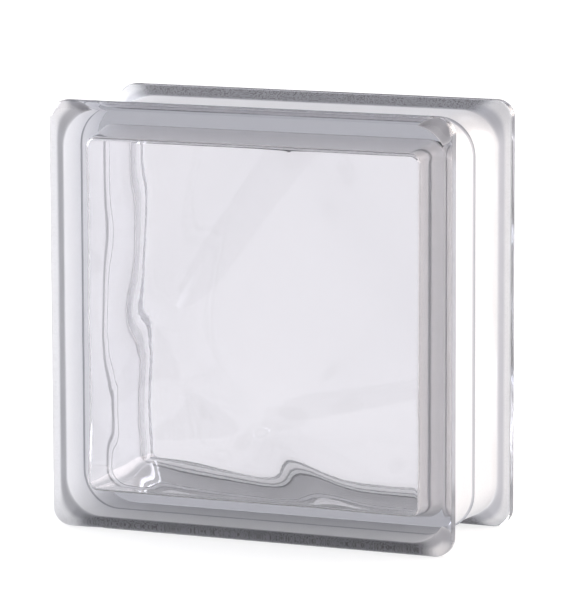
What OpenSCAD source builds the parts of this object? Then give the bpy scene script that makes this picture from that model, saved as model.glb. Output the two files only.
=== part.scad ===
// Hollow glass block, 190 x 190 x 80 mm, standing on edge.
//
// Two pressed glass trays are fused rim to rim while the rims are still soft, which
// seals the air inside. Each tray has a face pane with a wave pattern pressed into its
// inner side, a lip round the pane, and a side wall that stands back from the lip.
// Between the two lips, the walls leave a channel all round, which the mortar keys into.
//
// +X runs along the width, +Y from the front face to the back face, +Z up.
// The origin is the middle of the footprint, on the floor.

/* [Block] */
// Width and height over the lips
block_size = 190; // [150:1:240]
// Depth from face to face
block_depth = 80; // [76:1:100]

/* [Lip] */
// Thickness of the lip where it is widest
lip_thickness = 7; // [5:0.5:10]
// Radius of the lip's corners, seen from the front
lip_corner_r = 8; // [5:0.5:12]
// Radius that rounds the edge of the face
face_edge_r = 3.5; // [1.5:0.5:4.5]

/* [Mortar channel] */
// How far the side wall stands back from the lip
channel_depth = 4.6; // [3:0.1:7]
// Depth that the sloping shoulder takes from lip to side wall
shoulder_run = 5; // [3:0.5:8]
// Radius of the side wall's corners
wall_corner_r = 17; // [13:0.5:20]
// Height of the bead that the fused rims push out along the seam
bead_height = 0.6; // [0.3:0.1:1]

/* [Pane and cavity] */
// Thickness of the pane where the wave pattern is thinnest
pane_thickness = 6; // [5:0.1:7]
// Wall between the cavity and the outside of the lip, beside the pane
rim_width = 16; // [14:0.5:18]
// How much wider the cavity is at the seam than at the pane, on each side
cavity_draft = 3.5; // [2:0.5:4]
// Radius of the cavity's corners beside the pane
cavity_corner_r = 4.5; // [3.5:0.5:8]
// Radius between the pane and the side wall, inside
cavity_fillet_r = 2; // [1.5:0.5:3.5]

/* [Wave pattern] */
// Height of the tallest folds pressed into the pane
wave_height = 2.4; // [0.5:0.1:3]
// Facets across the pane, each way
wave_steps = 40; // [12:2:44]

/* [Hidden] */
$fn = 96;

glass = [0.86, 0.88, 0.90, 0.45];

half_size = block_size / 2;
half_depth = block_depth / 2;
lip_back = half_depth - lip_thickness;
shoulder_end = lip_back - shoulder_run;
wall_half = half_size - channel_depth;
cavity_half = half_size - rim_width;
pane_back = half_depth - pane_thickness;

// The middle of the corner arcs stays put along the cavity, so draft widens the arcs too.
cavity_core = cavity_half - cavity_corner_r;

// Faces that are to join, and not only touch, pass each other by this much.
overlap = 0.2;
// The wave slab reaches this far into the side walls, and this far into the pane.
wall_grip = 1.5;
pane_grip = 1;
// The shoulder's outline stays this far inside the lip, so that the two cross cleanly.
shoulder_inset = 0.1;
// Angle between two points of a rounded profile
arc_step = 10;

// Folds of the wave pattern: [direction in degrees, distance from the middle of the pane,
// height as a share of wave_height, reach in mm, radius of the crest in mm].
// A fold with a negative height is a hollow, and within its reach a fold loses about
// two thirds of its height.
folds = [
    [ 54,  42,  1.00,  8, 10],
    [-47, -33,  1.00, 12,  8],
    [-40, -26, -0.72, 20,  6],
    [ 13, -47, -0.45,  7,  7],
    [ 45,  80,  0.64, 25,  6],
    [-42, -87,  0.40,  6,  5]
];
// The pane's swell under the folds, and the pattern's least height, as shares of wave_height
swell = 0.78;
least_wave = 0.02;
// Where folds cross, what stands higher than this share of wave_height is pressed down,
// and only this much of it is left.
crossing = 1.6;
crossing_growth = 0.7;

// How far a point lies from a fold's crest, across the fold
function across(fold, u, v) = v * cos(fold[0]) - u * sin(fold[0]) - fold[1];

// Height of a fold at distance s from its crest: 1 on the crest, dying away on both sides
function crest(s, reach, r) = exp((r - norm([s, r])) / reach);

// Height of the pattern at a point of the pane, over the pane's thinnest spot
function wave(u, v) =
    let (h = swell + sum([for (f = folds) f[2] * crest(across(f, u, v), f[3], f[4])]))
    wave_height * max(least_wave, min(h, crossing + (h - crossing) * crossing_growth));

function sum(list, i = 0) = i < len(list) ? list[i] + sum(list, i + 1) : 0;

// Points of a quarter arc round a centre, from one angle to another
function arc(centre, r, from, to) = [
    for (k = [0 : arc_step : abs(to - from)])
        let (a = from + sign(to - from) * k) centre + r * [cos(a), sin(a)]
];

// A square tray shape: the 2D child is half of its section, from the corner arc's
// centre at X 0 outwards, with depth along Y. The child is carried round a square
// whose corner arcs are centred at +-core, and the middle is filled from bottom to top.
module round_the_square(core, bottom, top) {
    for (side = [0 : 90 : 270])
        rotate(side) {
            translate([core, core, 0]) rotate_extrude(angle = 90) children();
            translate([core, core, 0]) rotate([90, 0, 0]) linear_extrude(2 * core) children();
        }
    translate([-core, -core, bottom]) cube([2 * core, 2 * core, top - bottom]);
}

// Outline of a square with round corners
module rounded_square(half, r) {
    core = half - r;
    square([2 * half, 2 * core], center = true);
    square([2 * core, 2 * half], center = true);
    for (x = [-core, core], y = [-core, core]) translate([x, y]) circle(r);
}

// The pane with its lip, rounded towards the face
module lip() {
    edge_centre = [lip_corner_r - face_edge_r, half_depth - face_edge_r];
    round_the_square(half_size - lip_corner_r, lip_back, half_depth)
        polygon(concat(
            [[0, lip_back], [lip_corner_r, lip_back]],
            arc(edge_centre, face_edge_r, 0, 90),
            [[0, half_depth]]
        ));
}

// The slope from the lip down to the side wall
module shoulder() {
    hull() {
        translate([0, 0, lip_back])
            linear_extrude(overlap) rounded_square(half_size - shoulder_inset, lip_corner_r);
        translate([0, 0, shoulder_end - overlap])
            linear_extrude(overlap) rounded_square(wall_half - overlap, wall_corner_r);
    }
}

// The side wall, from the seam to inside the shoulder, with its half of the bead
module side_wall() {
    top = lip_back - overlap;
    round_the_square(wall_half - wall_corner_r, 0, top)
        polygon(concat(
            [[0, 0]],
            [for (p = arc([wall_corner_r, 0], bead_height * 2, 0, 90)) [
                wall_corner_r + (p.x - wall_corner_r) / 2, p.y
            ]],
            [[wall_corner_r, top], [0, top]]
        ));
}

// The hollow of one tray, drafted so that the plunger that pressed it could be drawn out
module cavity() {
    pane_r = cavity_corner_r;
    seam_r = cavity_corner_r + cavity_draft;
    fillet_centre = [pane_r - cavity_fillet_r, pane_back - cavity_fillet_r];
    round_the_square(cavity_core, -overlap, pane_back)
        polygon(concat(
            [[0, -overlap], [seam_r, -overlap], [seam_r, 0]],
            arc(fillet_centre, cavity_fillet_r, 0, 90),
            [[0, pane_back]]
        ));
}

// The wave pattern as a slab that stands on the pane and reaches into the walls round it
module waves() {
    n = wave_steps;
    reach = cavity_half + wall_grip;
    root = pane_back + pane_grip;
    row = n + 1;
    spot = [for (i = [0 : n]) -reach + 2 * reach * i / n];
    crests = [for (v = spot, u = spot) [u, v, pane_back - wave(u, v)]];
    rim = concat(
        [for (i = [0 : n - 1]) i],
        [for (j = [0 : n - 1]) j * row + n],
        [for (i = [n : -1 : 1]) n * row + i],
        [for (j = [n : -1 : 1]) j * row]
    );
    middle = row * row;
    foot = middle + 1;
    polyhedron(
        points = concat(
            crests,
            [[0, 0, root]],
            [for (k = rim) [crests[k].x, crests[k].y, root]]
        ),
        faces = concat(
            [for (j = [0 : n - 1], i = [0 : n - 1]) each [
                [j * row + i, j * row + i + 1, (j + 1) * row + i + 1],
                [j * row + i, (j + 1) * row + i + 1, (j + 1) * row + i]
            ]],
            [for (k = [0 : len(rim) - 1]) let (l = (k + 1) % len(rim)) each [
                [rim[l], rim[k], foot + k],
                [rim[l], foot + k, foot + l],
                [foot + l, foot + k, middle]
            ]]
        )
    );
}

// One pressed tray, with its seam at Z 0 and its face at Z half_depth
module tray() {
    color(glass) {
        difference() {
            union() {
                lip();
                shoulder();
                side_wall();
            }
            cavity();
        }
        waves();
    }
}

// The trays come from one mould, and the back one faces the other way.
module front_half() {
    translate([0, 0, half_size]) rotate([90, 0, 0]) tray();
}

module back_half() {
    rotate([0, 0, 180]) front_half();
}

front_half();
back_half();
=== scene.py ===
"""Hollow glass block on a pale studio floor: two pressed trays of glass, fused rim to rim."""

import math

import bmesh
import bpy
from mathutils import Matrix, Vector


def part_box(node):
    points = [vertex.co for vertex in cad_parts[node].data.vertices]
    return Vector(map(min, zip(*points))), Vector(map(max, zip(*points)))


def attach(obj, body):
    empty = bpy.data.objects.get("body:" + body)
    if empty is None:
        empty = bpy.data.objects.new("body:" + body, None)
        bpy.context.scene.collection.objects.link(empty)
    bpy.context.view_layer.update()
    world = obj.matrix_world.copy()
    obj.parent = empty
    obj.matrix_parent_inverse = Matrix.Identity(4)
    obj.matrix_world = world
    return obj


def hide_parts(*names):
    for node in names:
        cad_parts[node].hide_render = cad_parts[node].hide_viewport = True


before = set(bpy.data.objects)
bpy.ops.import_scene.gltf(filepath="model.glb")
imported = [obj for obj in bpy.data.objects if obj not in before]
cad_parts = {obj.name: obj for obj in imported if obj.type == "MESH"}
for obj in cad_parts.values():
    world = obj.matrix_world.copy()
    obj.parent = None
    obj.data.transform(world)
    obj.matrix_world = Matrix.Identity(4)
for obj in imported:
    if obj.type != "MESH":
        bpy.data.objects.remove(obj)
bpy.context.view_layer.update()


# ---------------------------------------------------------------- front half
# The front half is one gob of soda-lime glass pressed between a mould and a plunger.
# The mould gives the flat face, the lip and the wall, and the plunger gives the hollow
# with the waves on the pane. Both let go cleanly because every wall leans a little.

MM = 0.001
PANE_GRID = 132

low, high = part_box("front_half")
face_half = (high[0] - low[0]) / 2 / MM
face_depth = -low[1] / MM
block_middle = (low[2] + high[2]) / 2

LIP_THICKNESS = 7
LIP_CORNER = 8
LIP_EDGE = 3.5
LIP_BACK_EDGE = 1.2
CHANNEL_DEPTH = 4.3
SHOULDER_RUN = 5
SHOULDER_FILLET = 2.2
WALL_CORNER = 17
WALL_DRAFT = 0.4
BEAD_HEIGHT = 0.6
BEAD_REACH = 1.3

PANE_THINNEST = 6
CAVITY_HALF = face_half - 16
CAVITY_CORNER = 4.5
CAVITY_DRAFT = 3.5
CAVITY_FILLET = 2

# The folds of the plunger: direction, distance from the middle, height, reach, crest radius
FOLDS = (
    (54, 42, 2.40, 8, 10),
    (-47, -33, 2.40, 12, 8),
    (-40, -26, -1.73, 20, 6),
    (13, -47, -1.08, 7, 7),
    (45, 80, 1.54, 25, 6),
    (-42, -87, 0.96, 6, 5),
)
SWELL = 1.87
LEAST_WAVE = 0.05
CROSSING = 3.84
CROSSING_GROWTH = 0.7


def wave(u, v):
    """Height of the pressed pattern over the pane's thinnest spot, in mm."""
    height = SWELL
    for direction, offset, rise, reach, crest in FOLDS:
        angle = math.radians(direction)
        across = v * math.cos(angle) - u * math.sin(angle) - offset
        height += rise * math.exp((crest - math.hypot(across, crest)) / reach)
    pressed_down = CROSSING + (height - CROSSING) * CROSSING_GROWTH
    return max(LEAST_WAVE, min(height, pressed_down))


def on_outline(u, v, half, corner):
    """The point of a round-cornered square that lies in the direction of u, v."""
    reach = half / max(abs(u), abs(v))
    x, y = abs(u) * reach, abs(v) * reach
    core = half - corner
    if min(x, y) > core:
        length = math.hypot(x, y)
        way_x, way_y = x / length, y / length
        along = core * (way_x + way_y)
        rest = 2 * core * core - corner * corner
        stretch = along + math.sqrt(along * along - rest)
        x, y = way_x * stretch, way_y * stretch
    return math.copysign(x, u), math.copysign(y, v)


def chosen_corners(tray):
    """The corners selected in edit mode, with the mesh that holds them."""
    mesh = bmesh.from_edit_mesh(tray.data)
    return mesh, [corner for corner in mesh.verts if corner.select]


def lay_rim(tray, half, corner, depth):
    """Lay the selected rim on an outline. The depth is a number or a function of the old one."""
    mesh, rim = chosen_corners(tray)
    for point in rim:
        u = point.co.x / MM
        v = (point.co.z - block_middle) / MM
        u, v = on_outline(u, v, half, corner)
        new_depth = depth(-point.co.y / MM) if callable(depth) else depth
        point.co = Vector((u * MM, -new_depth * MM, block_middle + v * MM))
    bmesh.update_edit_mesh(tray.data)


def draw_rim(tray, half, corner, depth):
    """Extrude the selected rim and lay the new one."""
    bpy.ops.mesh.extrude_edges_move()
    lay_rim(tray, half, corner, depth)


bpy.ops.object.select_all(action="DESELECT")
pane_half = CAVITY_HALF - CAVITY_FILLET
pane_level = face_depth - PANE_THINNEST
bpy.ops.mesh.primitive_grid_add(
    x_subdivisions=PANE_GRID,
    y_subdivisions=PANE_GRID,
    size=2 * pane_half * MM,
    location=(0, 0, block_middle),
    rotation=(math.radians(90), 0, 0),
)
front = bpy.context.object
front.name = front.data.name = "pressed_front_half"
bpy.ops.object.transform_apply(location=True, rotation=True, scale=True)

# The grid closes up towards its border, so that the small corner arcs get enough facets.
CLOSING = 0.55
bpy.ops.object.mode_set(mode="EDIT")
mesh, pane_points = chosen_corners(front)


def closed_up(place):
    share = place / pane_half
    return pane_half * math.sin(share * CLOSING * math.pi / 2) / math.sin(CLOSING * math.pi / 2)


for point in pane_points:
    u = closed_up(point.co.x / MM)
    v = closed_up((point.co.z - block_middle) / MM)
    level = pane_level - wave(u, v)
    point.co = Vector((u * MM, -level * MM, block_middle + v * MM))
bmesh.update_edit_mesh(front.data)
bpy.ops.mesh.region_to_loop()

# Fillet between the pane and the cavity's wall
FILLET_STEPS = 7
pane_corner = CAVITY_CORNER - CAVITY_FILLET
lay_rim(front, pane_half, pane_corner, lambda depth: depth)
last_drop = 0
for step in range(1, FILLET_STEPS + 1):
    turn = math.radians(90) * step / FILLET_STEPS
    out = CAVITY_FILLET * math.sin(turn)
    drop = CAVITY_FILLET * (1 - math.cos(turn))
    draw_rim(front, pane_half + out, pane_corner + out, lambda depth: depth - drop + last_drop)
    last_drop = drop

# Leaning wall of the cavity, down to the inner bead of the seam
WALL_STEPS = 5
for step in range(1, WALL_STEPS + 1):
    lean = CAVITY_DRAFT * step / WALL_STEPS
    left = (WALL_STEPS - step) / (WALL_STEPS - step + 1)
    draw_rim(
        front,
        CAVITY_HALF + lean,
        CAVITY_CORNER + lean,
        lambda depth: BEAD_REACH + (depth - BEAD_REACH) * left,
    )

# Inner bead: glass that the two rims squeezed inwards
BEAD_STEPS = 5
seam_inner = CAVITY_HALF + CAVITY_DRAFT
for step in range(1, BEAD_STEPS + 1):
    turn = math.radians(90) * step / BEAD_STEPS
    rise = BEAD_HEIGHT * (1 - math.cos(turn))
    depth = BEAD_REACH * (1 - math.sin(turn))
    draw_rim(front, seam_inner - rise, CAVITY_CORNER + CAVITY_DRAFT - rise, depth)

# Rim that is fused to the other half's
wall_half = face_half - CHANNEL_DEPTH
seam_half = wall_half - WALL_DRAFT
draw_rim(front, seam_half + BEAD_HEIGHT, WALL_CORNER, 0)

# Outer bead
for step in range(1, BEAD_STEPS + 1):
    turn = math.radians(90) * step / BEAD_STEPS
    rise = BEAD_HEIGHT * (1 - math.sin(turn))
    depth = BEAD_REACH * (1 - math.cos(turn))
    draw_rim(front, seam_half + rise, WALL_CORNER, depth)

# Outer wall, then the round foot of the shoulder
lip_back = face_depth - LIP_THICKNESS
shoulder_foot = lip_back - SHOULDER_RUN
slope = math.atan2(CHANNEL_DEPTH, SHOULDER_RUN)
foot_start = shoulder_foot - SHOULDER_FILLET * math.tan(slope / 2)


def shoulder_corner(half):
    """Corner radius of the shoulder's outline, which tightens from the wall to the lip."""
    return WALL_CORNER + (LIP_CORNER - WALL_CORNER) * (half - wall_half) / CHANNEL_DEPTH


for share in (0.5, 1):
    depth = BEAD_REACH + (foot_start - BEAD_REACH) * share
    draw_rim(front, seam_half + WALL_DRAFT * share, WALL_CORNER, depth)

ARC_STEPS = 5
for step in range(1, ARC_STEPS + 1):
    turn = slope * step / ARC_STEPS
    half = wall_half + SHOULDER_FILLET * (1 - math.cos(turn))
    draw_rim(front, half, shoulder_corner(half), foot_start + SHOULDER_FILLET * math.sin(turn))

# The slope, then the arc that turns from the slope's line to the edge of the lip
crest_half = face_half - LIP_BACK_EDGE
crest_depth = lip_back + LIP_BACK_EDGE * math.tan(slope / 2)
for step in range(ARC_STEPS + 1):
    turn = slope * (1 - step / ARC_STEPS)
    half = crest_half + LIP_BACK_EDGE * math.cos(turn)
    draw_rim(front, half, shoulder_corner(half), crest_depth - LIP_BACK_EDGE * math.sin(turn))

# Lip, and the round edge of the face
EDGE_STEPS = 9
draw_rim(front, face_half, LIP_CORNER, face_depth - LIP_EDGE)
for step in range(1, EDGE_STEPS + 1):
    turn = math.radians(90) * step / EDGE_STEPS
    back = LIP_EDGE * (1 - math.cos(turn))
    depth = face_depth - LIP_EDGE + LIP_EDGE * math.sin(turn)
    draw_rim(front, face_half - back, LIP_CORNER - back, depth)
bpy.ops.mesh.edge_face_add()

bpy.ops.mesh.select_all(action="SELECT")
bpy.ops.mesh.normals_make_consistent(inside=False)
bpy.ops.object.mode_set(mode="OBJECT")


# ------------------------------------------------------- back half and seam
# The back half comes out of the same mould and faces the other way. The two rims are
# heated until they are soft and pressed together, so that the glass runs on through
# the seam and only the beads show where it was.

back_mesh = front.data.copy()
back_mesh.transform(Matrix.Rotation(math.radians(180), 4, "Z"))
back = bpy.data.objects.new("pressed_back_half", back_mesh)
bpy.context.collection.objects.link(back)
back.select_set(True)
bpy.ops.object.join()
block = front
block.name = block.data.name = "fused_glass_block"

MELT = 1e-6
bpy.ops.object.mode_set(mode="EDIT")
bpy.ops.mesh.select_all(action="DESELECT")
mesh = bmesh.from_edit_mesh(block.data)
for rim_face in mesh.faces:
    rim_face.select_set(all(abs(point.co.y) < MELT for point in rim_face.verts))
bmesh.update_edit_mesh(block.data)
bpy.ops.mesh.delete(type="ONLY_FACE")
bpy.ops.mesh.select_all(action="SELECT")
bpy.ops.mesh.delete_loose(use_verts=False, use_edges=True, use_faces=False)
bpy.ops.mesh.select_all(action="SELECT")
bpy.ops.mesh.remove_doubles(threshold=MELT)
bpy.ops.object.mode_set(mode="OBJECT")

SHARPEST_ROUND = 40
bpy.ops.object.shade_smooth_by_angle(angle=math.radians(SHARPEST_ROUND))
weighted = block.modifiers.new("even_normals", "WEIGHTED_NORMAL")
weighted.keep_sharp = True
bpy.ops.object.modifier_apply(modifier=weighted.name)


class Signal:
    """A shader socket with arithmetic: an expression adds its Math nodes."""

    def __init__(self, tree, socket):
        self.tree = tree
        self.socket = socket

    def node(self, kind, settings=None, inputs=None, output=0):
        """Add a node of a kind, with its settings and its sockets' values or links."""
        node = self.tree.nodes.new(kind)
        for name, value in (settings or {}).items():
            setattr(node, name, value)
        for name, value in (inputs or {}).items():
            if isinstance(value, Signal):
                self.tree.links.new(value.socket, node.inputs[name])
            else:
                node.inputs[name].default_value = value
        return Signal(self.tree, node.outputs[output])

    def maths(self, operation, *values):
        return self.node("ShaderNodeMath", {"operation": operation}, dict(enumerate(values)))

    def colour_mix(self, share, first, second):
        return self.node("ShaderNodeMix", {"data_type": "RGBA"}, {0: share, 6: first, 7: second}, output=2)

    def noise(self, scale, detail):
        return self.node("ShaderNodeTexNoise", inputs={"Vector": self, "Scale": scale, "Detail": detail})

    def vector_maths(self, operation, first, second, output=0):
        settings = {"operation": operation}
        return self.node("ShaderNodeVectorMath", settings, {0: first, 1: second}, output)

    def __add__(self, other):
        return self.maths("ADD", self, other)

    def __sub__(self, other):
        return self.maths("SUBTRACT", self, other)

    def __rsub__(self, other):
        return self.maths("SUBTRACT", other, self)

    def __mul__(self, other):
        return self.maths("MULTIPLY", self, other)

    __radd__ = __add__
    __rmul__ = __mul__


def band(signal, start, end):
    """0 before start, 1 after end, and a smooth rise between."""
    return signal.node(
        "ShaderNodeMapRange",
        {"interpolation_type": "SMOOTHSTEP"},
        {"Value": signal, "From Min": start, "From Max": end},
    )


# Clear soda-lime glass, a little violet, and darker the further light travels inside it
GLASS_TINT = (0.895, 0.89, 0.91, 1)
GLASS_IOR = 1.51
DEPTH_TINT = (0.19, 0.21, 0.28, 1)
DEPTH_DENSITY = 14
RIPPLE_SCALE = 260.0
RIPPLE_DETAIL = 2.0
RIPPLE_STRENGTH = 0.5
RIPPLE_HEIGHT = 0.02 * MM

glass = bpy.data.materials.new("pressed_glass")
glass.use_nodes = True
tree = glass.node_tree
shader = tree.nodes["Principled BSDF"]
shader.inputs["Base Color"].default_value = GLASS_TINT
shader.inputs["Roughness"].default_value = 0.0
shader.inputs["IOR"].default_value = GLASS_IOR
shader.inputs["Transmission Weight"].default_value = 1.0
depth_tint = tree.nodes.new("ShaderNodeVolumeAbsorption")
depth_tint.inputs["Color"].default_value = DEPTH_TINT
depth_tint.inputs["Density"].default_value = DEPTH_DENSITY
tree.links.new(depth_tint.outputs[0], tree.nodes["Material Output"].inputs["Volume"])

# Slight ripple that the mould and plunger leave in the skin
place = Signal(tree, tree.nodes.new("ShaderNodeTexCoord").outputs["Object"])
ripple = place.noise(RIPPLE_SCALE, RIPPLE_DETAIL)
skin_ripple = place.node(
    "ShaderNodeBump", inputs={"Strength": RIPPLE_STRENGTH, "Distance": RIPPLE_HEIGHT, "Height": ripple}
)
tree.links.new(skin_ripple.socket, shader.inputs["Normal"])


# ------------------------------------------------------------------ edge coat
# A white coat is sprayed thinly on the walls and slopes round the edge, for the mortar to
# grip. It lets light through. It is thickest on the walls, thinner on the seam and slopes.
# The seam's grey is also laid on the slopes as painted shade, and the upper part of the
# side slopes is painted white as a highlight. The top and bottom slopes carry a speckled
# grain that is painted near-black as shade. The outer edges of the lips get a painted
# dark grey haze as shade along the edge.

COAT_MARGIN = 0.6
COAT_SOFT = 0.8
COAT_OVERRUN = 0.3
COAT_COVER = 0.9
# How far the painted dark haze on the lips' outer edges covers the glass, as shade
EDGE_SHADE_COVER = 0.4
COAT_ROUGHNESS = 0.5
WALL_GLOW = 0.42
SLOPE_GLOW = 0.12
GLOW_TINT = (0.92, 0.91, 0.91, 1)
WHITE_DARK = (0.82, 0.84, 0.87, 1)
WHITE_LIGHT = (0.90, 0.92, 0.95, 1)
# Speckled grain of the top and bottom slopes, painted near-black as shade
SAND_SHADE_DARK = (0.04, 0.04, 0.045, 1)
SAND_SHADE_LIGHT = (0.19, 0.19, 0.21, 1)
# Grey of the seam, also painted on the slopes as shade
SEAM_GREY_AND_SLOPE_SHADE = (0.50, 0.51, 0.56, 1)
# Dark grey haze on the lips' outer edges: painted shade along the edge
EDGE_SHADE_TONE = (0.15, 0.16, 0.19, 1)

# Distances from the middle of the block, sideways or up, and through from front to back
split = place.node("ShaderNodeSeparateXYZ", inputs={"Vector": place}).socket.node
sideways = Signal(tree, split.outputs["X"])
through = Signal(tree, split.outputs["Y"])
upwards = Signal(tree, split.outputs["Z"]) - block_middle
sideways = sideways.maths("ABSOLUTE", sideways)
through = through.maths("ABSOLUTE", through)
upwards = upwards.maths("ABSOLUTE", upwards)
outwards = sideways.maths("MAXIMUM", sideways, upwards)

# Where the coat lies: outside the seam's inner bead, and as far as the lip's back
coat_inner = (seam_inner + COAT_MARGIN) * MM
coat_end = (lip_back + COAT_OVERRUN) * MM
coated = band(outwards, coat_inner, coat_inner + COAT_SOFT * MM)
coated = coated * (1 - band(through, coat_end - COAT_SOFT * MM, coat_end))

# The slope, from just below its foot, and the upper part of the side slopes, which is painted white as a
# highlight
SLOPE_BEFORE = 1.5
SLOPE_AFTER = 1
# Upper part of the side slopes, painted white as a highlight
HIGHLIGHT_CREST_START = 29.8
HIGHLIGHT_CREST_FULL = 31.3
# From the side slopes over to the top and bottom slopes, which get the painted shade
LEVEL_SLOPE_START = 5
LEVEL_SLOPE_FULL = 16
SEAM_FULL = 1.3
SEAM_END = 2.0
sloping = band(through, (shoulder_foot - SLOPE_BEFORE) * MM, (shoulder_foot + SLOPE_AFTER) * MM)
level_slope = band(upwards - sideways, LEVEL_SLOPE_START * MM, LEVEL_SLOPE_FULL * MM)
seam = 1 - band(through, SEAM_FULL * MM, SEAM_END * MM)
# Side slopes' upper part, kept white as a painted highlight
crest = band(through, HIGHLIGHT_CREST_START * MM, HIGHLIGHT_CREST_FULL * MM)
# The seam, and the slopes painted grey as shade, except the side slopes' white highlight
seam_and_shaded_slope = sloping * (1 - crest * (1 - level_slope))
seam_and_shaded_slope = seam_and_shaded_slope.maths("MAXIMUM", seam_and_shaded_slope, seam)

# Grain of the coat
GRAIN_SCALE = 1600.0
GRAIN_DETAIL = 1.0
SPECK_START = 0.33
SPECK_FULL = 0.55
# Band of the lips' outer edges that gets the painted dark haze, as shade
EDGE_SHADE_START = 0.5
EDGE_SHADE_FULL = 0.1
speck = band(place.noise(GRAIN_SCALE, GRAIN_DETAIL), SPECK_START, SPECK_FULL)
white = place.colour_mix(speck, WHITE_DARK, WHITE_LIGHT)
shaded_sand = place.colour_mix(speck, SAND_SHADE_DARK, SAND_SHADE_LIGHT)
skin_tone = place.colour_mix(seam_and_shaded_slope, white, SEAM_GREY_AND_SLOPE_SHADE)
# Top and bottom slopes: the grain, painted near-black as shade
shaded_sand_share = sloping * level_slope * (1 - band(through, lip_back * MM, (lip_back + 1) * MM))
skin_tone = place.colour_mix(shaded_sand_share, skin_tone, shaded_sand)
# Painted shade: a dark grey haze on the lips' outer edges
shaded_edge = band(outwards, (face_half - EDGE_SHADE_START) * MM, (face_half - EDGE_SHADE_FULL) * MM)
skin_tone = place.colour_mix(shaded_edge, skin_tone, EDGE_SHADE_TONE)

skin = place.node("ShaderNodeBsdfPrincipled", inputs={"Base Color": skin_tone, "Roughness": COAT_ROUGHNESS})
glow = place.node("ShaderNodeBsdfTranslucent", inputs={"Color": GLOW_TINT})
glow_share = (WALL_GLOW + (SLOPE_GLOW - WALL_GLOW) * seam_and_shaded_slope) * (1 - shaded_sand_share)
coat = place.node("ShaderNodeMixShader", inputs={0: glow_share, 1: skin, 2: glow})
cover = coated * COAT_COVER
cover = cover.maths("MAXIMUM", cover, shaded_edge * EDGE_SHADE_COVER)
clear = Signal(tree, shader.outputs[0])
finish = place.node("ShaderNodeMixShader", inputs={0: cover, 1: clear, 2: coat})
tree.links.new(finish.socket, tree.nodes["Material Output"].inputs["Surface"])
block.data.materials.append(glass)

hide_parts("front_half", "back_half")
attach(block, "root")


# --------------------------------------------------------------------- studio
# A plain pale floor that is lit a little from below, in a dim room. A soft light stands
# low at each side, to brighten the coated walls, and a weak one hangs overhead.

FLOOR_SIZE = 12
FLOOR_TONE = (0.3, 0.3, 0.3, 1)
FLOOR_ROUGHNESS = 0.8
FLOOR_GLOW = 0.72
bpy.ops.mesh.primitive_plane_add(size=FLOOR_SIZE, location=(0, 0, 0))
floor = bpy.context.object
floor.name = "floor"
floor_paint = bpy.data.materials.new("floor_paint")
floor_paint.use_nodes = True
paint = floor_paint.node_tree.nodes["Principled BSDF"]
paint.inputs["Base Color"].default_value = FLOOR_TONE
paint.inputs["Roughness"].default_value = FLOOR_ROUGHNESS
paint.inputs["Emission Color"].default_value = (1, 1, 1, 1)
paint.inputs["Emission Strength"].default_value = FLOOR_GLOW
floor.data.materials.append(floor_paint)

VIEW_AZIMUTH = math.radians(23.44)
VIEW_ELEVATION = math.radians(8.94)

# Degrees right of the view's direction, degrees above the floor, spread, colour
RIGHT_BOX = (76, 7, 48, (6.6, 6.0, 5.6))
LEFT_BOX = (-64, 7, 48, (7.4, 7.4, 7.5))
TOP_BOX = (0, 90, 45, (0.36, 0.39, 0.48))
ROOM = (0.1, 0.1, 0.11)
# Share of a soft light's spread at which it is at full strength
FULL_SHARE = 0.55

world = bpy.data.worlds.new("studio")
bpy.context.scene.world = world
world.use_nodes = True
tree = world.node_tree
backing = tree.nodes["Background"]
way = Signal(tree, tree.nodes.new("ShaderNodeTexCoord").outputs["Generated"])


def softbox(azimuth, elevation, spread, colour):
    """A round soft light, at degrees to the right of the view's direction and above the floor."""
    turn = math.radians(azimuth) - VIEW_AZIMUTH
    lift = math.radians(elevation)
    axis = (math.sin(turn) * math.cos(lift), math.cos(turn) * math.cos(lift), math.sin(lift))
    facing = way.vector_maths("DOT_PRODUCT", way, axis, output=1)
    edge = math.cos(math.radians(spread))
    middle = math.cos(math.radians(spread * FULL_SHARE))
    return way.node(
        "ShaderNodeVectorMath",
        {"operation": "SCALE"},
        {0: colour, "Scale": band(facing, edge, middle)},
    )


light = way.vector_maths("ADD", softbox(*RIGHT_BOX), softbox(*LEFT_BOX))
light = way.vector_maths("ADD", light, softbox(*TOP_BOX))
light = way.vector_maths("ADD", light, ROOM)
tree.links.new(light.socket, backing.inputs["Color"])

camera_data = bpy.data.cameras.new("camera")
camera = bpy.data.objects.new("camera", camera_data)
bpy.context.collection.objects.link(camera)
CAMERA_DISTANCE = 2.0624
CAMERA_LENS = 280.6
CAMERA_SENSOR = 36
CAMERA_REACH = 100
CAMERA_ROLL = math.radians(-0.18)
aim = Vector((0.0025, 0.0025, 0.1009))
turned = (
    Matrix.Rotation(VIEW_AZIMUTH, 4, "Z")
    @ Matrix.Rotation(math.radians(90) - VIEW_ELEVATION, 4, "X")
    @ Matrix.Rotation(CAMERA_ROLL, 4, "Z")
)
camera.matrix_world = Matrix.Translation(aim) @ turned @ Matrix.Translation((0, 0, CAMERA_DISTANCE))
camera_data.lens = CAMERA_LENS
camera_data.sensor_width = CAMERA_SENSOR
camera_data.clip_end = CAMERA_REACH
bpy.context.scene.camera = camera

# Light passes many glass skins on its way through the block.
scene = bpy.context.scene
scene.view_settings.view_transform = "Standard"
scene.cycles.max_bounces = 20
scene.cycles.transmission_bounces = 20
scene.cycles.glossy_bounces = 10
scene.cycles.transparent_max_bounces = 8
